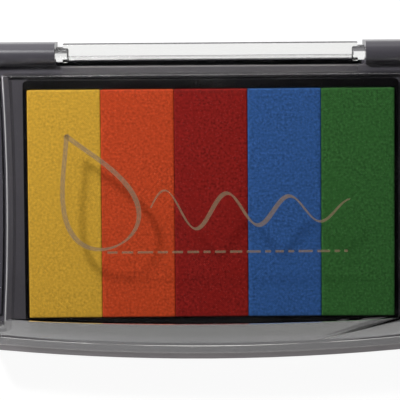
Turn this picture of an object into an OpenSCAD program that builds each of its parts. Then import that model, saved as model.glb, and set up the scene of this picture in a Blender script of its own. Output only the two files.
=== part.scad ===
// Five-colour ink pad: a dark case with a hinged clear lid over a tray of inked strips.
// Millimetres. +Z is up, +Y is the hinge side, and the origin is on the ground plane
// under the centre of the case.

/* [Case] */
// Overall width of the case
case_w = 96.8; // [96:0.1:98]
// Overall depth, from the middle of the bowed front to the hinge
case_d = 66.6; // [66.4:0.1:67]
// Height with the lid closed
case_h = 19; // [19:0.1:20]
// Height of the case's deck, where the lid closes
base_h = 9.5; // [9.3:0.1:9.6]
// Radius of the bowed front edge
front_r = 460; // [420:10:520]
// Radius of the two front corners
corner_r = 4; // [3:0.5:5]
// Thickness of the case's outer walls and of its deck
case_wall = 1.6; // [1.4:0.1:1.8]

/* [Ink strips] */
// Width of the inked surface
pad_w = 76.2; // [75.5:0.1:76.4]
// Depth of the inked surface
pad_d = 47.5; // [47:0.1:47.6]
// Height of the inked surface above the ground
pad_top = 12.6; // [12.2:0.1:12.8]
// Thickness of the woven cover on each strip
cover_t = 1.2; // [0.8:0.1:1.6]
// Thickness of the film between two neighbouring strips
divider_t = 0.15; // [0.1:0.05:0.3]

/* [Ink tray] */
// Width over the tray's side walls
tray_w = 78; // [77.9:0.1:78.3]
// Thickness of the tray's floor
tray_floor = 1.2; // [1:0.1:1.5]
// Height of the tray's rim above the ground
tray_rim = 11.8; // [11:0.1:12]

/* [Lid] */
// Wall thickness of the clear lid
lid_wall = 1.3; // [1.1:0.1:1.4]
// Thickness of the lid's sloping front and of its back
front_wall = 0.9; // [0.8:0.1:1]
// Half width between the lid's two finger recesses
lid_waist = 42.1; // [42:0.1:42.3]
// Radius of the slight bow along each finger recess
waist_r = 440; // [400:10:700]

/* [Hinge] */
// Distance from the case's centre back to the hinge axis
hinge_y = 30.9; // [30.85:0.05:30.95]
// Height of the hinge axis
hinge_z = 9.6; // [9.6:0.05:9.65]
// Radius of the lid's two hinge pins
pin_r = 1; // [0.8:0.05:1.1]
// Radial play of a pin in its hole
pin_play = 0.05; // [0.02:0.01:0.09]
// Radius of the case's two hinge knuckles
knuckle_r = 2.4; // [2.3:0.05:2.4]
// Clear width between the two knuckles
notch_w = 64.6; // [64:0.1:66]

/* [Hidden] */
COLOURS = ["yellow", "orange", "red", "blue", "green"];

INKS = ["#d9a92e", "#c8452a", "#8c1d1c", "#2c549b", "#2a6a34"];
charcoal = "#3a3a40";
black = "#141416";

$fn = 64;
arc_fn = 720;          // segments of the long, shallow arcs
far = 60;              // reaches past the case from its middle
half_w = case_w / 2;
half_d = case_d / 2;
arc_y = front_r - half_d;                 // centre of the front arc
corner_x = half_w - corner_r;             // centre of the right front corner
corner_y = arc_y - sqrt(pow(front_r - corner_r, 2) - pow(corner_x, 2));
corner_a = atan2(corner_y - arc_y, corner_x);
rear_corner_r = 1.5;

strip_count = len(COLOURS);
strip_pitch = pad_w / strip_count;
pad_shift = -0.1;                         // the inked surface lies just ahead of the middle
pad_front = pad_shift - pad_d / 2;
strip_play = 0.15;                        // all round the strips, inside the tray

floor_t = 1.6;                            // the case's floor under the tray
label_recess = 0.4;
label_t = 0.2;
tray_rear = 25.6;
tray_front = -25.6;                       // the middle of the tray's bowed front
tray_front_r = 780;
tray_corner_r = 1;
tray_play = 0.1;
pocket_wall = 1.5;
tray_inside = floor_t + tray_floor;       // where the foam stands

notch_y = 28.4;                           // the deck's rear edge between the knuckles
groove_w = 0.6;                           // the grooves in the deck
groove_depth = 0.8;
back_groove_y = 26.1;
side_groove_gap = 0.9;                    // from the lid's side to the groove beside it
side_groove_rear = 27;
notch_corner_r = 0.6;
rear_wall_y = 30;                         // the case's low rear wall, under the lid's bar
rear_wall_z = 7;
rear_wall_t = 0.6;
slot_z = 2;                               // the floor of the slot ahead of that wall
bore_depth = 4;

lid_gap = 0.2;                            // between the deck and the closed lid
lid_z = base_h + lid_gap;
lid_inset = 1.2;                          // from the case's sides to the lid's
lip_inset = 1.2;                          // from the case's front to the lid's lifting lip
lip_t = 0.25;                             // the lip's thickness at its edge
lip_z = 11.2;                             // its height where it meets the sloping front
slope_foot = 3;                           // from the case's front to the foot of the slope
slope_top = 8.7;                          // from the case's front to the lid's flat top
lid_rear_top = 26.9;                      // the lid's rear wall, at the top
lid_rear_foot = 27.1;                     // and at the deck
window_r = 800;                           // bow of the slope's top edge
slice_t = 0.01;                           // the slices the slope is drawn between
waist_front = -25;                        // the front end of the finger recesses
waist_mid = 3;                            // the middle of their bow
waist_corner_r = 2;
tab_w = 61.2;
tab_front = 29.9;
tab_rear = 33.2;
tab_t = 2.3;
tab_z = hinge_z - 1;

// ---- outlines and shared solids ----

// A round-cornered sector that cuts the corner at [x, y] back to radius r, between two angles
module corner_cutter(x, y, r, from, to) {
    reach = 3 * corner_r;
    middle = (from + to) / 2;
    translate([x, y, -1]) difference() {
        linear_extrude(case_h + 2) polygon([
            [0, 0],
            [reach * cos(from), reach * sin(from)],
            [1.5 * reach * cos(middle), 1.5 * reach * sin(middle)],
            [reach * cos(to), reach * sin(to)]]);
        cylinder(r = r, h = 3 * case_h, center = true);
    }
}

// The two sides of the case are mirror images
module both_sides() {
    children();
    mirror([1, 0, 0]) children();
}

// The case's outline moved in by inset, as a slab from z0 to z1, reaching back to y1
module case_slab(inset, z0, z1, y1) {
    difference() {
        intersection() {
            translate([-half_w + inset, -far, z0]) cube([case_w - 2 * inset, far + y1, z1 - z0]);
            translate([0, arc_y, z0]) cylinder(r = front_r - inset, h = z1 - z0, $fn = arc_fn);
        }
        both_sides() corner_cutter(corner_x, corner_y, corner_r - inset, corner_a, 0);
    }
}

// The tray's outline moved out by grow, as a slab from z0 to z1
module tray_slab(grow, z0, z1) {
    half = tray_w / 2 + grow;
    centre_y = tray_front + tray_front_r;
    r = tray_corner_r + grow;
    x = half - r;
    y = centre_y - sqrt(pow(tray_front_r - tray_corner_r, 2) - pow(x, 2));
    difference() {
        intersection() {
            translate([-half, -far, z0]) cube([2 * half, far + tray_rear + grow, z1 - z0]);
            translate([0, centre_y, z0]) cylinder(r = tray_front_r + grow, h = z1 - z0, $fn = arc_fn);
        }
        both_sides() corner_cutter(x, y, r, atan2(y - centre_y, x), 0);
        both_sides() corner_cutter(x, tray_rear + grow - r, r, 0, 90);
    }
}

// A profile drawn as [y, z] and drawn out along X, centred
module along_x(width) {
    rotate([90, 0, 90]) linear_extrude(width, center = true) children();
}

// ---- case ----

module knuckle() {
    length = half_w - notch_w / 2;
    translate([notch_w / 2, hinge_y, hinge_z]) rotate([0, 90, 0]) cylinder(r = knuckle_r, h = length);
}

// The hollow under the deck, open below, between the outer walls and the tray's pocket
module underside_channel() {
    difference() {
        case_slab(case_wall, -1, base_h - case_wall, tray_rear + tray_play + pocket_wall);
        tray_slab(tray_play + pocket_wall, -2, base_h);
    }
}

module underside_ribs() {
    rib_t = 1;
    foot = 0.4;           // the ribs stop short of the ground
    lap = 1;              // they run this far into the pocket's wall
    front_reach = 6.8;
    side_x = tray_w / 2 + lap;
    side_l = half_w - case_wall / 2 - side_x;
    front_y = -half_d + case_wall / 2;
    both_sides() for (y = [-17, -6, 5, 16])
        translate([side_x, y - rib_t / 2, foot]) cube([side_l, rib_t, base_h - 1]);
    for (x = [-30, -10, 10, 30])
        translate([x - rib_t / 2, front_y, foot]) cube([rib_t, front_reach, base_h - 1]);
}

// The gap between the knuckles: open over the rear wall, with a slot behind the deck
module rear_notch() {
    r = notch_corner_r;
    w = notch_w - 2 * r;
    slot_d = rear_wall_y - rear_wall_t - notch_y;
    translate([-notch_w / 2, notch_y + r, rear_wall_z]) cube([notch_w, far, case_h]);
    translate([-w / 2, notch_y, rear_wall_z]) cube([w, far, case_h]);
    both_sides() translate([w / 2, notch_y + r, rear_wall_z]) cylinder(r = r, h = case_h);
    translate([-w / 2, notch_y, slot_z]) cube([w, slot_d, case_h]);
    translate([-notch_w / 2, rear_wall_y, -1]) cube([notch_w, far, case_h]);
}

// The groove in the deck beside each finger recess
module side_groove() {
    difference() {
        waist_cutter(-side_groove_gap, side_groove_rear);
        waist_cutter(-side_groove_gap - groove_w, side_groove_rear);
        translate([0, -far, -case_h]) cube([far, 2 * far, case_h + base_h - groove_depth]);
    }
}

module base_case() {
    label_w = 60;
    label_d = 34;
    core_wall = 1.6;
    core_h = 5.4;
    color(charcoal) difference() {
        union() {
            case_slab(0, 0, base_h, half_d);
            both_sides() knuckle();
        }
        difference() {
            underside_channel();
            underside_ribs();
        }
        tray_slab(tray_play, floor_t, case_h);
        rear_notch();
        // the corners behind the knuckles
        both_sides() corner_cutter(half_w - rear_corner_r, half_d - rear_corner_r, rear_corner_r, 0, 90);
        // coring under each knuckle
        both_sides() translate([notch_w / 2 + core_wall, notch_y, -1])
            cube([half_w - notch_w / 2 - 2 * core_wall, half_d - notch_y - core_wall, 1 + core_h]);
        // the hinge holes
        both_sides() translate([notch_w / 2 - 1, hinge_y, hinge_z]) rotate([0, 90, 0])
            cylinder(r = pin_r + pin_play, h = bore_depth + 1);
        both_sides() side_groove();
        // the groove along the back of the deck
        translate([-lid_waist, back_groove_y, base_h - groove_depth])
            cube([2 * lid_waist, groove_w, 1]);
        translate([-label_w / 2, -label_d / 2, -1]) cube([label_w, label_d, 1 + label_recess]);
    }
}

module base_label() {
    w = 59.4;
    d = 33.4;
    color("white") translate([-w / 2, -d / 2, label_recess - label_t]) cube([w, d, label_t]);
}

// ---- ink tray and strips ----

module ink_tray() {
    w = pad_w + 2 * strip_play;
    color(black) difference() {
        tray_slab(0, floor_t, tray_rim);
        translate([-w / 2, pad_front - strip_play, tray_inside]) cube([w, pad_d + 2 * strip_play, case_h]);
    }
}

// One slab of a strip, at place i counted from the left, clear of the films beside it
module strip_slab(i, z0, z1, side_gap) {
    x0 = -pad_w / 2 + i * strip_pitch;
    gap = divider_t / 2 + side_gap;
    translate([x0 + gap, pad_front, z0]) cube([strip_pitch - 2 * gap, pad_d, z1 - z0]);
}

module foam(i) {
    color(INKS[i], 0.9) strip_slab(i, tray_inside, pad_top - cover_t, 0.05);
}

module cover(i) {
    color(INKS[i]) strip_slab(i, pad_top - cover_t, pad_top, 0);
}

// The film between strips i - 1 and i
module divider(i) {
    lower = 0.5;
    x = -pad_w / 2 + i * strip_pitch;
    color(black) translate([x - divider_t / 2, pad_front, tray_inside])
        cube([divider_t, pad_d, pad_top - lower - tray_inside]);
}

// ---- lid ----

// What a finger recess takes out of one side, grown by grow, back to y1
module waist_cutter(grow, y1) {
    r = waist_corner_r + grow;
    x = lid_waist - grow;
    front = waist_front - grow + r;
    rear = y1 + grow - r;
    intersection() {
        union() {
            translate([x, front, -1]) cube([far, rear - front, case_h + 2]);
            translate([x + r, front - r, -1]) cube([far, rear - front + 2 * r, case_h + 2]);
            for (y = [front, rear]) translate([x + r, y, -1]) cylinder(r = r, h = case_h + 2);
        }
        translate([x + waist_r, waist_mid, -2]) cylinder(r = waist_r, h = case_h + 4, $fn = arc_fn);
    }
}

// The sloping front at height z: its share of the rise, its place in the middle and its bow's radius
function slope_share(z) = (z - lip_z) / (case_h - lip_z);
function slope_y(z) = -half_d + slope_foot + (slope_top - slope_foot) * slope_share(z);
function slope_r(z) = 1 / ((1 - slope_share(z)) / (front_r - slope_foot) + slope_share(z) / window_r);

// A thin slice of the solid behind the slope, moved back by inset
module slope_disc(z, inset) {
    r = slope_r(z) - inset;
    translate([0, slope_y(z) + inset + r, z]) cylinder(r = r, h = slice_t, $fn = arc_fn);
}

// The solid behind the sloping front from z0 to z1, moved back by inset
module behind_slope(z0, z1, inset) {
    hull() {
        slope_disc(z0, inset);
        slope_disc(z1 - slice_t, inset);
    }
}

// All that lies ahead of the lid's rear face moved in by wall
module ahead_of_rear(wall) {
    lean = (lid_rear_foot - lid_rear_top) / (case_h - lid_z);
    foot = lid_rear_foot - wall + lean * lid_z;
    along_x(case_w) polygon([[-far, 0], [foot, 0], [foot - lean * case_h, case_h], [-far, case_h]]);
}

// The lid's front lip, thin at its edge and thicker towards the slope
module lifting_lip() {
    hull() {
        case_slab(lip_inset, lid_z, lid_z + lip_t, waist_front + 1);
        case_slab(slope_foot, lid_z, lip_z, waist_front + 1);
    }
}

module lid_body() {
    slope_angle = atan2(case_h - lip_z, slope_top - slope_foot);
    difference() {
        union() {
            intersection() {
                union() {
                    behind_slope(lip_z, case_h, 0);
                    translate([0, arc_y, lid_z])
                        cylinder(r = front_r - slope_foot, h = lip_z - lid_z, $fn = arc_fn);
                }
                ahead_of_rear(0);
                case_slab(lid_inset, 0, case_h, far);
            }
            lifting_lip();
        }
        intersection() {
            behind_slope(lid_z - 1, case_h - lid_wall, front_wall / sin(slope_angle));
            ahead_of_rear(front_wall);
            difference() {
                case_slab(lid_inset + lid_wall, 0, case_h, far);
                both_sides() waist_cutter(lid_wall, far);
            }
        }
        both_sides() waist_cutter(0, far);
    }
}

// The bar behind the lid, the web that carries it, and the two pins in its ends
module hinge_tab() {
    web_z = 9.9;
    web_t = 1.1;
    rail_y = 28.5;        // the web is thicker from the lid's wall back to here
    rail_t = 1.7;
    boss_r = 1.6;
    end_gap = 0.2;
    pin_reach = bore_depth - 0.4;
    edge_r = 0.5;
    along_x(tab_w) {
        translate([tab_front, tab_z]) square([tab_rear - edge_r - tab_front, tab_t]);
        translate([tab_front, tab_z + edge_r]) square([tab_rear - tab_front, tab_t - 2 * edge_r]);
        for (z = [tab_z + edge_r, tab_z + tab_t - edge_r])
            translate([tab_rear - edge_r, z]) circle(r = edge_r);
        translate([lid_rear_foot - 1, web_z]) square([tab_front - lid_rear_foot + 1.5, web_t]);
        translate([lid_rear_foot - 1, web_z]) square([rail_y - lid_rear_foot + 1, rail_t]);
    }
    both_sides() {
        translate([tab_w / 2 - 1, hinge_y, hinge_z]) rotate([0, 90, 0])
            cylinder(r = boss_r, h = notch_w / 2 - tab_w / 2 + 1 - end_gap);
        translate([tab_w / 2 - 1, hinge_y, hinge_z]) rotate([0, 90, 0])
            cylinder(r = pin_r, h = notch_w / 2 - tab_w / 2 + 1 + pin_reach);
    }
}

module lid() {
    color("white", 0.35) union() {
        lid_body();
        hinge_tab();
    }
}

base_case();
ink_tray();
for (i = [1:strip_count - 1])
    divider(i);
for (i = [0:strip_count - 1])
    foam(i);
for (i = [0:strip_count - 1])
    cover(i);
lid();
base_label();
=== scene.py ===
"""The look of a rainbow ink pad: a charcoal case, a black tray of inked strips, and a hinged clear lid.

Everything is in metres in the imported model's frame: +X along the strips, +Y towards the hinge, +Z up.
"""

import math
import random

import bmesh
import bpy
from mathutils import Matrix, Vector, noise


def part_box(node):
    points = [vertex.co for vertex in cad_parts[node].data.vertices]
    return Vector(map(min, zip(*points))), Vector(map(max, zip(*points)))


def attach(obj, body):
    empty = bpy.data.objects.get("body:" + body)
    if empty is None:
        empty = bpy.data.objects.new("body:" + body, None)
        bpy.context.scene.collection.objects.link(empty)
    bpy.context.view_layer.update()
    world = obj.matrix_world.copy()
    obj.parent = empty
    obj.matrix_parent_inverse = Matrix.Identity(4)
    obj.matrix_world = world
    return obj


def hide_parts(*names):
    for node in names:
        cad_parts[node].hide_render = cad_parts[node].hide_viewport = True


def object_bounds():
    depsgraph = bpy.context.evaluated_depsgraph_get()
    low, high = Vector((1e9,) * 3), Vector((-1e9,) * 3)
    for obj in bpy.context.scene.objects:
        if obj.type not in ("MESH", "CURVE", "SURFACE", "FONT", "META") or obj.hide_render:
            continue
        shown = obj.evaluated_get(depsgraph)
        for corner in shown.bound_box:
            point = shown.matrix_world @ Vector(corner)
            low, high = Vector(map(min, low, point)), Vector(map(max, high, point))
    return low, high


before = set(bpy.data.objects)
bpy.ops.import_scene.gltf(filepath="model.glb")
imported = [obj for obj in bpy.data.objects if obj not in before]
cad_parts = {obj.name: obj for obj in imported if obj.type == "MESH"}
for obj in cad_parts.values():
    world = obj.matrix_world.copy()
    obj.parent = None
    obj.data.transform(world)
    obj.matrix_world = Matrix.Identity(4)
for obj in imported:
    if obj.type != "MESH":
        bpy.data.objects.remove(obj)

cad_low, cad_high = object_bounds()
MM = 0.001
COLOURS = ("yellow", "orange", "red", "blue", "green")
INKS = {
    "yellow": (0.60, 0.345, 0.037),
    "orange": (0.52, 0.058, 0.0155),
    "red": (0.235, 0.0095, 0.0075),
    "blue": (0.029, 0.094, 0.29),
    "green": (0.0295, 0.115, 0.0265),
}
THREADS = {"yellow": 0.75, "orange": 1.15, "red": 1.4, "blue": 1.25, "green": 1.3}

# Places in mm, as in the CAD design.
CASE_TOP = 9.5                 # the case's deck
CASE_FRONT = -26.0             # the deck's bowed edge lies ahead of this
FRONT_R = 460                  # bow of the case's front
BAR_FRONT = 29.3               # the front of the lid's hinge bar
RECESS_X = 482.1               # centre of the bow of a finger recess, beside the case
RECESS_Y = 3
RECESS_R = 440
SLOPE_TOP = 18.4               # where the lid's sides reach its flat top

# Painted highlights in the case's colour: pale glints along the deck's edges, and a painted lighter
# band on the deck just behind the lid, where it is lit straight rather than through the lid. Each pair
# runs from none to full, in mm.
PAINTED_GLINT = (0.26, 0.245, 0.255)
RIM_GLINT = (1.7, 1.1)          # behind the case's bowed front
REAR_LIT_BAND = (26.6, 26.9)       # the deck behind the lid
NOTCH_GLINT = (28.05, 28.2)     # the deck's rear edge, between the knuckles
NOTCH_END = (28.7, 28.6)
GLINT_WIDTH = (34, 27)          # to either side of the middle

# ---------------------------------------------------------------- materials


class Nodes:
    """A material's node tree, with short calls for the nodes that repeat."""

    def __init__(self, name):
        self.material = bpy.data.materials.new(name)
        self.material.use_nodes = True
        self.tree = self.material.node_tree
        self.tree.nodes.clear()
        self.out = self.tree.nodes.new("ShaderNodeOutputMaterial")
        self.at = self.node("ShaderNodeTexCoord").outputs["Object"]

    def node(self, kind, **settings):
        made = self.tree.nodes.new(kind)
        for key, value in settings.items():
            setattr(made, key, value)
        return made

    def link(self, source, target):
        """Gives an input a socket's value, or a plain one."""
        if isinstance(source, bpy.types.NodeSocket):
            self.tree.links.new(source, target)
        else:
            target.default_value = source

    def noise(self, scale, detail=3.0, roughness=0.5, stretch=(1, 1, 1)):
        """A noise pattern with this many cells to a metre."""
        place = self.node("ShaderNodeMapping")
        place.inputs["Scale"].default_value = stretch
        self.link(self.at, place.inputs["Vector"])
        made = self.node("ShaderNodeTexNoise")
        self.link(place.outputs[0], made.inputs["Vector"])
        made.inputs["Scale"].default_value = scale
        made.inputs["Detail"].default_value = detail
        made.inputs["Roughness"].default_value = roughness
        return made.outputs["Fac"]

    def axes(self):
        """A place's X, Y and Z in metres."""
        split = self.node("ShaderNodeSeparateXYZ")
        self.link(self.at, split.inputs[0])
        return tuple(split.outputs)

    def math(self, operation, a, b=0.0):
        made = self.node("ShaderNodeMath", operation=operation)
        for value, target in zip((a, b), made.inputs):
            self.link(value, target)
        return made.outputs[0]

    def distance(self, across, along):
        """The length of a step across and a step along."""
        return self.math("SQRT", self.math("ADD", self.math("MULTIPLY", across, across),
                                           self.math("MULTIPLY", along, along)))

    def between(self, value, low, high, start=0.0, end=1.0):
        """Maps a value from start..end to low..high, held at the ends."""
        made = self.node("ShaderNodeMapRange")
        for source, key in ((value, "Value"), (start, "From Min"), (end, "From Max"),
                            (low, "To Min"), (high, "To Max")):
            self.link(source, made.inputs[key])
        return made.outputs[0]

    def over(self, place, start, end, full=1.0):
        """A share that grows from 0 to full as a place in metres runs from start to end in mm."""
        if start < end:
            return self.between(place, 0.0, full, start * MM, end * MM)
        return self.between(place, full, 0.0, end * MM, start * MM)

    def blend(self, share, a, b):
        """Two colours mixed by share."""
        made = self.node("ShaderNodeMix", data_type="RGBA")
        self.link(share, made.inputs["Factor"])
        for value, target in ((a, made.inputs[6]), (b, made.inputs[7])):
            self.link(value if isinstance(value, bpy.types.NodeSocket) else (*value, 1.0), target)
        return made.outputs[2]

    def bump(self, height, distance, strength=1.0, under=None):
        made = self.node("ShaderNodeBump")
        self.link(height, made.inputs["Height"])
        made.inputs["Distance"].default_value = distance
        made.inputs["Strength"].default_value = strength
        if under is not None:
            self.link(under, made.inputs["Normal"])
        return made.outputs[0]

    def principled(self, **inputs):
        made = self.node("ShaderNodeBsdfPrincipled")
        for key, value in inputs.items():
            target = made.inputs[key.replace("_", " ")]
            if key == "Base_Color" and not isinstance(value, bpy.types.NodeSocket):
                value = (*value, 1.0)
            self.link(value, target)
        return made.outputs[0]

    def mixed(self, share, a, b):
        made = self.node("ShaderNodeMixShader")
        self.link(share, made.inputs[0])
        self.link(a, made.inputs[1])
        self.link(b, made.inputs[2])
        return made.outputs[0]

    def done(self, surface):
        self.link(surface, self.out.inputs["Surface"])
        return self.material


def from_front(n, x, y):
    """How far a place lies from the centre of the case's bowed front, which is FRONT_R away."""
    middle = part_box("base_case")[0].y + FRONT_R * MM
    return n.distance(x, n.math("SUBTRACT", middle, y))


def deck_painted_highlights(n):
    """How much painted highlight the case's deck gets: glints along its bowed front and its rear edge,
    and a lighter band behind the lid.
    """
    x, y, z = n.axes()
    # painted glints along the front rim and the notch edge, and a painted lighter band behind the lid
    front = n.over(from_front(n, x, y), *(FRONT_R - w for w in RIM_GLINT))
    rear = n.math("ADD", n.over(y, *REAR_LIT_BAND, full=0.22), n.over(y, *NOTCH_GLINT, full=0.78))
    rear = n.math("MULTIPLY", rear, n.over(n.math("ABSOLUTE", x), *GLINT_WIDTH))
    rear = n.math("MULTIPLY", rear, n.over(y, *NOTCH_END))
    high = n.over(z, CASE_TOP - 1.2, CASE_TOP - 0.9)
    uneven = n.between(n.noise(700, 4, 0.7, (0.2, 1.0, 1.0)), 0.85, 1.1, 0.3, 0.7)
    return n.math("MULTIPLY", high, n.math("MULTIPLY", uneven, n.math("MAXIMUM", front, rear)))


def moulded_plastic(name, colour, lighter, roughness, grain, painted_glints=None):
    """Moulded plastic: fine spark-eroded grain, slow changes of sheen, and paler rubbed patches.

    The last argument, if given, lays painted highlights in the pale colour set at the top of the script
    into its colour."""
    n = Nodes(name)
    slow = n.noise(60, 2)
    fine = n.noise(3800, 4, 0.6)
    rubbed = n.between(n.noise(420, 5, 0.7), 0.0, 1.0, 0.52, 0.78)
    base = n.blend(n.math("MULTIPLY", rubbed, 0.35), colour, lighter)
    base = n.blend(n.between(slow, 0.0, 0.35), base, lighter)
    # painted highlights: the case's colour paled along its deck's edges and behind the lid
    if painted_glints:
        base = n.blend(painted_glints(n), base, PAINTED_GLINT)
    shine = n.math("ADD", n.between(slow, roughness - 0.05, roughness + 0.06),
                   n.between(fine, -0.05, 0.05))
    normal = n.bump(fine, grain, 0.6)
    return n.done(n.principled(Base_Color=base, Roughness=shine, Normal=normal, IOR=1.5))


def clear_plastic(name):
    """Clear polished plastic, with painted highlights: a whitish diffuse colour on its lip and on its
    top edges over the finger recesses.

    Rays from lamps and diffuse rays pass straight through it."""
    n = Nodes(name)
    x, y, z = n.axes()
    # painted highlights: whitish on the lip and on the top edges over the finger recesses
    low = n.over(z, CASE_TOP + 1.9, CASE_TOP + 1.6)
    lip = n.math("MULTIPLY", low, n.over(from_front(n, x, y), FRONT_R - 3.1, FRONT_R - 2.9, full=0.12))
    bow = n.distance(n.math("SUBTRACT", RECESS_X * MM, n.math("ABSOLUTE", x)),
                     n.math("SUBTRACT", y, RECESS_Y * MM))
    side = n.math("MULTIPLY", n.over(bow, RECESS_R + 0.4, RECESS_R + 0.2, full=0.34),
                  n.over(z, SLOPE_TOP - 0.1, SLOPE_TOP + 0.1))
    on_bar = n.over(y, BAR_FRONT, BAR_FRONT + 0.5)
    slow = n.noise(45, 2)
    scuff = n.between(n.noise(900, 6, 0.75, (1.0, 0.25, 1.0)), 0.0, 1.0, 0.60, 0.74)
    shine = n.math("ADD", n.between(slow, 0.012, 0.03), n.math("MULTIPLY", scuff, 0.05))
    normal = n.bump(slow, 0.02 * MM, 0.2)
    glass = n.node("ShaderNodeBsdfGlass")
    n.link(n.blend(on_bar, (0.985, 0.985, 0.975), (0.925, 0.925, 0.92)), glass.inputs["Color"])
    glass.inputs["IOR"].default_value = 1.5
    n.link(shine, glass.inputs["Roughness"])
    n.link(normal, glass.inputs["Normal"])
    clear = n.node("ShaderNodeBsdfTransparent")
    clear.inputs["Color"].default_value = (0.93, 0.93, 0.925, 1.0)
    path = n.node("ShaderNodeLightPath")
    glint_white = n.node("ShaderNodeBsdfDiffuse")
    glint_white.inputs["Color"].default_value = (0.8, 0.79, 0.8, 1.0)
    # how much of the painted whitish highlight shows, a little uneven
    share = n.math("MULTIPLY", n.math("MAXIMUM", lip, side), n.between(scuff, 0.9, 1.2))
    seen = n.mixed(share, glass.outputs[0], glint_white.outputs[0])
    inner = n.mixed(path.outputs["Is Diffuse Ray"], seen, clear.outputs[0])
    return n.done(n.mixed(path.outputs["Is Shadow Ray"], inner, clear.outputs[0]))


def inked_cloth(name, colour, depth):
    """A fine woven cover soaked with pigment ink: a plain weave, pooled ink and a damp sheen.

    depth is how strongly the threads show through the ink's colour."""
    n = Nodes(name)
    x, y, z = n.axes()
    thread = 2 * math.pi / (0.42 * MM)
    wander = n.math("MULTIPLY", n.noise(500, 2), 2.6)
    warp, weft = (n.math("SINE", n.math("ADD", n.math("MULTIPLY", axis, thread), wander))
                  for axis in (x, y))
    weave = n.math("MULTIPLY", warp, weft)
    fibres = n.noise(5200, 4, 0.7)
    mottle = n.noise(1900, 4, 0.7)
    pooled = n.noise(170, 3, 0.6)
    dark = tuple(c * (1 - 0.42 * depth) for c in colour)
    light = tuple(min(c * (1 + 0.36 * depth) + 0.003 * depth, 1.0) for c in colour)
    base = n.blend(n.between(mottle, 0.0, 1.0, 0.34, 0.66), dark, light)
    base = n.blend(n.between(pooled, 0.0, 0.5, 0.35, 0.7), base, colour)
    base = n.blend(n.between(weave, 0.2, 0.0, -1.0, 0.2), base, dark)
    shine = n.math("ADD", n.between(pooled, 0.62, 0.48, 0.35, 0.7), n.between(fibres, -0.08, 0.08))
    height = n.math("ADD", n.math("MULTIPLY", weave, 0.6), n.math("MULTIPLY", fibres, 0.9))
    normal = n.bump(height, 0.03 * MM, 0.8)
    normal = n.bump(mottle, 0.05 * MM, 0.6, normal)
    return n.done(n.principled(Base_Color=base, Roughness=shine, Normal=normal, Sheen_Weight=0.02,
                               Sheen_Roughness=0.4, Specular_IOR_Level=0.08))


def ink_foam(name, colour):
    """Open-celled foam full of ink."""
    n = Nodes(name)
    cells = n.node("ShaderNodeTexVoronoi", feature="F1")
    cells.inputs["Scale"].default_value = 2200
    n.link(n.at, cells.inputs["Vector"])
    pores = n.between(cells.outputs["Distance"], 0.0, 1.0, 0.05, 0.55)
    dark = tuple(c * 0.4 for c in colour)
    base = n.blend(pores, dark, colour)
    base = n.blend(n.between(n.noise(300, 3), 0.0, 0.4), base, dark)
    normal = n.bump(pores, 0.1 * MM, 0.8)
    return n.done(n.principled(Base_Color=base, Roughness=n.between(pores, 0.75, 0.5),
                               Normal=normal))


def barrier_film(name):
    """Black plastic film with fine streaks along it."""
    n = Nodes(name)
    streaks = n.noise(900, 3, 0.6, (1.0, 0.15, 1.0))
    base = n.blend(streaks, (0.006, 0.006, 0.008), (0.02, 0.018, 0.02))
    return n.done(n.principled(Base_Color=base, Roughness=n.between(streaks, 0.3, 0.5),
                               Normal=n.bump(streaks, 0.02 * MM, 0.5)))


def lid_print(name):
    """Translucent coppery grey printed on the lid, a little uneven as screen printing is."""
    n = Nodes(name)
    uneven = n.noise(1500, 4, 0.65)
    base = n.blend(uneven, (0.22, 0.155, 0.09), (0.29, 0.21, 0.13))
    cover = n.between(uneven, 0.32, 0.48, 0.3, 0.7)
    return n.done(n.principled(Base_Color=base, Roughness=n.between(uneven, 0.35, 0.55), Alpha=cover))


def label_paper(name):
    """Coated white paper with a faint fibre."""
    n = Nodes(name)
    fibre = n.noise(2600, 5, 0.7, (1.0, 0.4, 1.0))
    base = n.blend(fibre, (0.78, 0.775, 0.75), (0.88, 0.875, 0.855))
    return n.done(n.principled(Base_Color=base, Roughness=n.between(fibre, 0.42, 0.6),
                               Normal=n.bump(fibre, 0.01 * MM, 0.5)))


def label_ink(name, colour):
    """Flat offset ink on the label."""
    n = Nodes(name)
    dots = n.noise(4200, 2)
    base = n.blend(n.between(dots, 0.0, 0.35, 0.4, 0.7), colour, (0.8, 0.79, 0.77))
    return n.done(n.principled(Base_Color=base, Roughness=n.between(dots, 0.4, 0.5)))


def glowing_floor(name):
    """A white table that glows as if lit, more strongly round the pad: a painted pool of light."""
    n = Nodes(name)
    slow = n.noise(3, 2)
    base = n.blend(slow, (0.12, 0.12, 0.12), (0.14, 0.14, 0.14))
    away = n.node("ShaderNodeVectorMath", operation="LENGTH")
    n.link(n.at, away.inputs[0])
    near, far = 58 * MM, 85 * MM
    # painted light: the floor glows, 0.93 round the pad fading to 0.78 further out
    glow = n.between(away.outputs["Value"], 0.93, 0.78, near, far)
    lit = n.principled(Base_Color=base, Roughness=n.between(slow, 0.7, 0.8),
                       Emission_Color=(1.0, 1.0, 1.0, 1.0), Emission_Strength=glow)
    return n.done(lit)


# the case's colour carries painted highlights on its deck
CASE = moulded_plastic("case_charcoal", (0.056, 0.0525, 0.0625), (0.074, 0.069, 0.083),
                       roughness=0.30, grain=0.01 * MM, painted_glints=deck_painted_highlights)
# nearly pure black: the tray's own black with painted shade of the well round the pad
TRAY = moulded_plastic("tray_black_and_shade", (0.0010, 0.0008, 0.0014), (0.0016, 0.0014, 0.002),
                       roughness=0.24, grain=0.005 * MM)
CLEAR = clear_plastic("lid_clear")
FILM = barrier_film("barrier_film")
PRINT = lid_print("lid_print")
PAPER = label_paper("label_paper")
CLOTH = {c: inked_cloth(f"inked_cloth_{c}", INKS[c], THREADS[c]) for c in COLOURS}
FOAM = {c: ink_foam(f"ink_foam_{c}", INKS[c]) for c in COLOURS}
SQUARES = {c: label_ink(f"label_ink_{c}", INKS[c]) for c in COLOURS}

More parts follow.
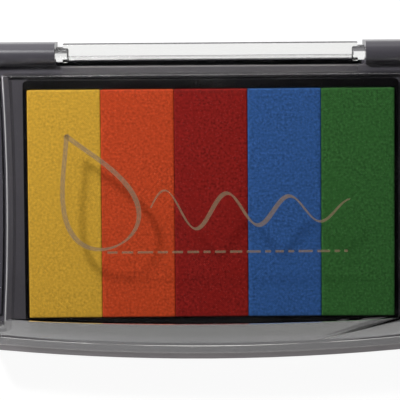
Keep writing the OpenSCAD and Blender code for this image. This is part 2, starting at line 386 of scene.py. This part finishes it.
# ---------------------------------------------------------------- mesh helpers


def mesh_from(bm, name):
    """The finished mesh of a bmesh, which is freed."""
    mesh = bpy.data.meshes.new(name)
    bm.to_mesh(mesh)
    bm.free()
    return mesh


def new_object(name, mesh, materials):
    made = bpy.data.objects.new(name, mesh)
    bpy.context.scene.collection.objects.link(made)
    for m in materials:
        mesh.materials.append(m)
    return made


def finished(made, body, stands_for=()):
    """Names what a piece rides on and hides the nodes it replaces."""
    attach(made, body)
    if stands_for:
        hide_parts(*stands_for)
    return made


def refined(node, name, body, material, widest, edge_of, clamp=True):
    """A CAD node's shape as clean faces, each sharp edge rounded to the radius edge_of gives.

    widest is the largest of those radii, in mm. clamp keeps the rounding off its neighbours."""
    crease, corner = math.radians(12), math.radians(25)
    bm = bmesh.new()
    bm.from_mesh(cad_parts[node].data)
    bmesh.ops.remove_doubles(bm, verts=bm.verts, dist=1e-6)
    bmesh.ops.dissolve_limit(bm, angle_limit=0.002, verts=bm.verts, edges=bm.edges)
    bmesh.ops.recalc_face_normals(bm, faces=bm.faces)
    weights = bm.edges.layers.float.new("bevel_weight_edge")
    for e in bm.edges:
        angle = e.calc_face_angle(0.0) if len(e.link_faces) == 2 else 0.0
        if angle > corner:
            e[weights] = edge_of(*(v.co / MM for v in e.verts)) / widest
        e.smooth = angle < crease or e[weights] > 0
    for f in bm.faces:
        f.smooth = True
    made = new_object(name, mesh_from(bm, name), [material])
    bevel = made.modifiers.new("edges", "BEVEL")
    bevel.width = widest * MM
    bevel.segments = 3
    bevel.limit_method = "WEIGHT"
    bevel.use_clamp_overlap = clamp
    bevel.miter_outer = "MITER_ARC"
    shading = made.modifiers.new("flat_faces", "WEIGHTED_NORMAL")
    shading.mode = "FACE_AREA"
    shading.weight = 100
    shading.keep_sharp = True
    return finished(made, body, (node,))


def case_edge(a, b):
    """The case's edge radii in mm: softest along the front of the deck, crisp below it."""
    on_deck = min(a.z, b.z) > CASE_TOP - 1.0
    if on_deck and max(a.y, b.y) < CASE_FRONT:
        return 0.7
    return 0.3 if on_deck else 0.2


def lid_edge(a, b):
    """The lid's edge radii in mm: soft over the finger recesses and on the bar, sharp elsewhere."""
    if min(a.y, b.y) > BAR_FRONT:
        return 0.2
    beside_pad = min(abs(a.x), abs(b.x)) > 41
    on_top = min(a.z, b.z) > CASE_TOP + 9
    return 0.3 if beside_pad and on_top else 0.0


# ---------------------------------------------------------------- pieces

refined("base_case", "case_moulding", "base", CASE, 0.7, case_edge)
refined("ink_tray", "tray_moulding", "base", TRAY, 0.2, lambda a, b: 0.2)
refined("lid", "lid_moulding", "lid", CLEAR, 0.3, lid_edge, clamp=False)
for i in range(1, len(COLOURS)):
    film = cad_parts[f"divider_{i}"].data.materials
    film.clear()
    film.append(FILM)


def pad_block(name, node, material, seed, rows, crown, inset=0.0, bulge=0.0):
    """A soft block in its CAD solid's place: rounded edges, a crowned top, and slight unevenness.

    rows is how many faces it has along X and Y. It is smaller than the solid by inset, its top
    falls by crown at the edges, and its upper half swells sideways by bulge, over the films."""
    low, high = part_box(node)
    low, high = low + Vector((inset, inset, 0)), high - Vector((inset, inset, 0))
    size = high - low
    nx, ny = rows
    nz = 8
    edge = min(0.2 * MM, size.z * 0.4)
    core_low, core_high = low + Vector((edge,) * 3), high - Vector((edge,) * 3)
    lump, lump_height = 1.7 * MM, 0.025 * MM
    swell_from, swell_over = 0.55, 0.2
    bm = bmesh.new()
    grid = {}

    def place(u, v, w):
        """A point of the block's surface, from the three shares along its sides."""
        swell = bulge * (2 * u - 1) * min(max((w - swell_from) / swell_over, 0.0), 1.0)
        p = Vector((low.x + u * size.x, low.y + v * size.y, low.z + w * size.z))
        near = Vector(max(a, min(b, c)) for a, b, c in zip(core_low, core_high, p))
        if (p - near).length > 0:
            p = near + (p - near).normalized() * edge
        if w > 0.5:
            lift = (1 - abs(2 * u - 1) ** 6) * (1 - abs(2 * v - 1) ** 14)
            rough = noise.noise(Vector((p.x, p.y, 0)) / lump + Vector((seed,) * 3))
            p.z += crown * (lift - 1.0) + lump_height * rough * lift
        p.x += swell
        return p

    def vert(i, j, k):
        """The vertex at a place of the grid, made once."""
        if (i, j, k) not in grid:
            grid[i, j, k] = bm.verts.new(place(i / nx, j / ny, k / nz))
        return grid[i, j, k]

    def quads(n, m, corner):
        """One side of the block, n faces by m."""
        for a in range(n):
            for b in range(m):
                bm.faces.new([corner(a, b), corner(a + 1, b), corner(a + 1, b + 1), corner(a, b + 1)])

    for k in (0, nz):
        quads(nx, ny, lambda a, b: vert(a, b, k))
    for j in (0, ny):
        quads(nx, nz, lambda a, b: vert(a, j, b))
    for i in (0, nx):
        quads(ny, nz, lambda a, b: vert(i, a, b))
    bmesh.ops.recalc_face_normals(bm, faces=bm.faces)
    for f in bm.faces:
        f.smooth = True
    return finished(new_object(name, mesh_from(bm, name), [material]), "base", (node,))


for seed, colour in enumerate(COLOURS):
    cover = pad_block(f"inked_cover_{colour}", f"cover_{colour}", CLOTH[colour],
                      seed + 1.5, (60, 190), crown=0.06 * MM, bulge=0.06 * MM)
    core = pad_block(f"ink_foam_{colour}", f"foam_{colour}", FOAM[colour],
                     seed + 7.5, (40, 120), crown=0.02 * MM, inset=0.05 * MM)


def base_label():
    """The paper label, with a row of five colour squares printed on it."""
    low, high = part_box("base_label")
    square = 6.5 * MM
    gap = 3 * MM
    first = -(len(COLOURS) * square + (len(COLOURS) - 1) * gap) / 2
    xs = [low.x]
    for i in range(len(COLOURS)):
        xs += [first + i * (square + gap), first + i * (square + gap) + square]
    xs.append(high.x)
    ys = [low.y, -square / 2, square / 2, high.y]
    bm = bmesh.new()
    verts = [[[bm.verts.new((x, y, z)) for z in (low.z, high.z)] for y in ys] for x in xs]
    for i in range(len(xs) - 1):
        for j in range(len(ys) - 1):
            for k in (0, 1):
                f = bm.faces.new([verts[i][j][k], verts[i + 1][j][k],
                                  verts[i + 1][j + 1][k], verts[i][j + 1][k]])
                if k == 0 and j == 1 and i % 2 == 1:
                    f.material_index = 1 + i // 2
    for i in range(len(xs) - 1):
        for j in (0, len(ys) - 1):
            bm.faces.new([verts[i][j][0], verts[i + 1][j][0], verts[i + 1][j][1], verts[i][j][1]])
    for j in range(len(ys) - 1):
        for i in (0, len(xs) - 1):
            bm.faces.new([verts[i][j][0], verts[i][j + 1][0], verts[i][j + 1][1], verts[i][j][1]])
    bmesh.ops.recalc_face_normals(bm, faces=bm.faces)
    made = new_object("paper_label", mesh_from(bm, "paper_label"),
                      [PAPER, *(SQUARES[c] for c in COLOURS)])
    finished(made, "base", ("base_label",))


base_label()

# ---------------------------------------------------------------- the print on the lid

PRINT_Z = cad_high.z + 0.004 * MM    # its underside, just clear of the lid's top
PRINT_T = 0.012 * MM                 # its thickness


def neighbours(path, i, closed):
    """The points before and after a path's point i, or the point itself at an open end."""
    n = len(path)
    before = path[(i - 1) % n] if closed or i else path[i]
    after = path[(i + 1) % n] if closed or i < n - 1 else path[i]
    return before, after


def ribbon(bm, path, widths, closed=False):
    """A thin flat band along a path of (x, y), this wide at each point."""
    n = len(path)
    rings = []
    for i, (x, y) in enumerate(path):
        a, b = neighbours(path, i, closed)
        along = Vector((b[0] - a[0], b[1] - a[1]))
        side = Vector((-along.y, along.x)).normalized() * widths[i] / 2
        rings.append([bm.verts.new((x + s * side.x, y + s * side.y, z))
                      for s, z in ((1, PRINT_Z), (-1, PRINT_Z),
                                   (-1, PRINT_Z + PRINT_T), (1, PRINT_Z + PRINT_T))])
    last = n if closed else n - 1
    for i in range(last):
        a, b = rings[i], rings[(i + 1) % n]
        for k in range(4):
            bm.faces.new([a[k], a[(k + 1) % 4], b[(k + 1) % 4], b[k]])
    if not closed:
        bm.faces.new(rings[0][::-1])
        bm.faces.new(rings[-1])


def drop_outline(centre, height, lean, steps=96):
    """A falling drop's outline: round below and drawn out to a point above."""
    points = []
    for i in range(steps):
        t = 2 * math.pi * i / steps
        x = 0.42 * height * math.sin(t) * math.sin(t / 2) ** 1.4
        y = 0.5 * height * math.cos(t)
        points.append((centre[0] + x * math.cos(lean) - y * math.sin(lean),
                       centre[1] + x * math.sin(lean) + y * math.cos(lean)))
    return points


def tapered(path, most, least):
    """Widths that swell towards the middle of a path."""
    n = len(path) - 1
    return [least + (most - least) * math.sin(math.pi * i / n) ** 0.8 for i in range(n + 1)]


def printed(name, bm):
    """A piece of the print, which rides on the lid."""
    bmesh.ops.recalc_face_normals(bm, faces=bm.faces)
    finished(new_object(name, mesh_from(bm, name), [PRINT]), "lid")


def pen_widths(path, most, least, nib, closed=False):
    """Widths as a broad nib held at the angle nib would draw them."""
    widths = []
    for i in range(len(path)):
        a, b = neighbours(path, i, closed)
        turn = math.atan2(b[1] - a[1], b[0] - a[0]) - nib
        widths.append(least + (most - least) * abs(math.sin(turn)))
    return widths


def print_drop():
    """An ink drop, outlined with a broad nib."""
    bm = bmesh.new()
    path = drop_outline(centre=(-24.6 * MM, 3.2 * MM), height=25 * MM, lean=0.42)
    widths = pen_widths(path, 1.05 * MM, 0.4 * MM, nib=0.5, closed=True)
    ribbon(bm, path, widths, closed=True)
    printed("print_drop", bm)


def print_swash():
    """A brush stroke that runs in long waves across the lid."""
    bm = bmesh.new()
    start, end, steps = -12.5 * MM, 28.5 * MM, 260
    middle, tallest, waves = -1.0, 4.3, 3.2
    path = []
    for i in range(steps + 1):
        s = i / steps
        wave = tallest * math.sin(2 * math.pi * (waves * s + 0.02)) * (1 - 0.5 * s)
        path.append((start + (end - start) * s, (middle + wave) * MM))
    widths = pen_widths(path, 1.0 * MM, 0.42 * MM, nib=-0.7)
    taper = tapered(path, 1.0, 0.3)
    ribbon(bm, path, [w * t for w, t in zip(widths, taper)])
    printed("print_swash", bm)


def print_dashes():
    """A row of short bars under the brush stroke."""
    bm = bmesh.new()
    rng = random.Random(11)
    x, y, end = -21.5 * MM, -9.6 * MM, 28.0 * MM
    width, gap = 0.5 * MM, 0.9 * MM
    while x < end:
        length = rng.uniform(1.0, 3.4) * MM
        ribbon(bm, [(x, y), (min(x + length, end), y)], [width] * 2)
        x += length + gap
    printed("print_dashes", bm)


print_drop()
print_swash()
print_dashes()

# ---------------------------------------------------------------- floor, light and camera


def floor():
    bm = bmesh.new()
    bmesh.ops.create_grid(bm, x_segments=8, y_segments=8, size=1.2)
    new_object("floor", mesh_from(bm, "floor"), [glowing_floor("glowing_floor")])


def area_light(name, place, aim, size, power):
    """A round lamp of this width and power in watts, pointed at aim."""
    lamp = bpy.data.lights.new(name, "AREA")
    lamp.shape = "DISK"
    lamp.size = size
    lamp.energy = power
    made = bpy.data.objects.new(name, lamp)
    bpy.context.scene.collection.objects.link(made)
    made.location = place
    made.rotation_mode = "QUATERNION"
    made.rotation_quaternion = (Vector(aim) - Vector(place)).to_track_quat("-Z", "Y")


def direction(azimuth, elevation):
    """The direction at these angles, in degrees from +X towards +Y and up from level."""
    turn, height = math.radians(azimuth), math.radians(elevation)
    return Vector((math.cos(turn) * math.cos(height), math.sin(turn) * math.cos(height),
                   math.sin(height)))


class Sky:
    """A room's light by direction: a base that is dark straight above, and soft bright patches."""

    def __init__(self):
        world = bpy.data.worlds.new("room")
        bpy.context.scene.world = world
        world.use_nodes = True
        self.tree = world.node_tree
        self.back = self.tree.nodes["Background"]
        self.back.inputs["Color"].default_value = (1, 1, 1, 1)
        self.way = self.tree.nodes.new("ShaderNodeTexCoord").outputs["Generated"]
        self.total = None

    def add(self, value):
        """Adds a patch's strength to the others."""
        if self.total is None:
            self.total = value
        else:
            plus = self.tree.nodes.new("ShaderNodeMath")
            plus.operation = "ADD"
            self.tree.links.new(self.total, plus.inputs[0])
            self.tree.links.new(value, plus.inputs[1])
            self.total = plus.outputs[0]
        self.tree.links.new(self.total, self.back.inputs["Strength"])

    def patch(self, azimuth, elevation, inner, outer, gain, floor=0.0):
        """Brightness gain within inner degrees of a direction, fading to floor at outer degrees."""
        dot = self.tree.nodes.new("ShaderNodeVectorMath")
        dot.operation = "DOT_PRODUCT"
        self.tree.links.new(self.way, dot.inputs[0])
        dot.inputs[1].default_value = direction(azimuth, elevation)
        fade = self.tree.nodes.new("ShaderNodeMapRange")
        fade.interpolation_type = "SMOOTHSTEP"
        self.tree.links.new(dot.outputs["Value"], fade.inputs["Value"])
        for key, value in (("From Min", math.cos(math.radians(outer))),
                           ("From Max", math.cos(math.radians(inner))),
                           ("To Min", floor), ("To Max", gain)):
            fade.inputs[key].default_value = value
        self.add(fade.outputs[0])


def studio():
    """A key light and a low lamp behind on the left, and a white room that is dark straight above."""
    area_light("key", direction(126, 41) * 0.32, (0, 0, 0), size=0.05, power=1.08)
    area_light("rear_lamp", (-0.063, 0.199, 0.257), (-0.04, 0.031, 0.01), size=0.08, power=0.12)
    sky = Sky()
    for patch in ((0, 90, 45, 80, 0.0, 0.38),     # dark straight above, pale lower down
                  (90, 12, 8, 26, 1.4),           # behind the hinge
                  (180, 12, 8, 26, 1.4),          # on the left
                  (262, 14, 6, 26, 1.0)):         # in front
        sky.patch(*patch)


def camera():
    """Almost straight above, leaning a little to the hinge side, close enough to crop both ends."""
    above = 0.5
    spin, lean = math.radians(-0.44), math.radians(-5.23)
    pad_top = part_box("cover_red")[1].z
    view = bpy.data.cameras.new("camera")
    view.sensor_width = 36
    view.lens = 217.2
    made = bpy.data.objects.new("camera", view)
    bpy.context.scene.collection.objects.link(made)
    made.location = (-2.0 * MM, 46.3 * MM, pad_top + above)
    made.rotation_mode = "XYZ"
    turn = Matrix.Rotation(spin, 3, "Z") @ Matrix.Rotation(lean, 3, "X")
    made.rotation_euler = turn.to_euler()
    bpy.context.scene.camera = made


floor()
studio()
camera()
bpy.context.scene.view_settings.view_transform = "Standard"

bpy.context.view_layer.update()
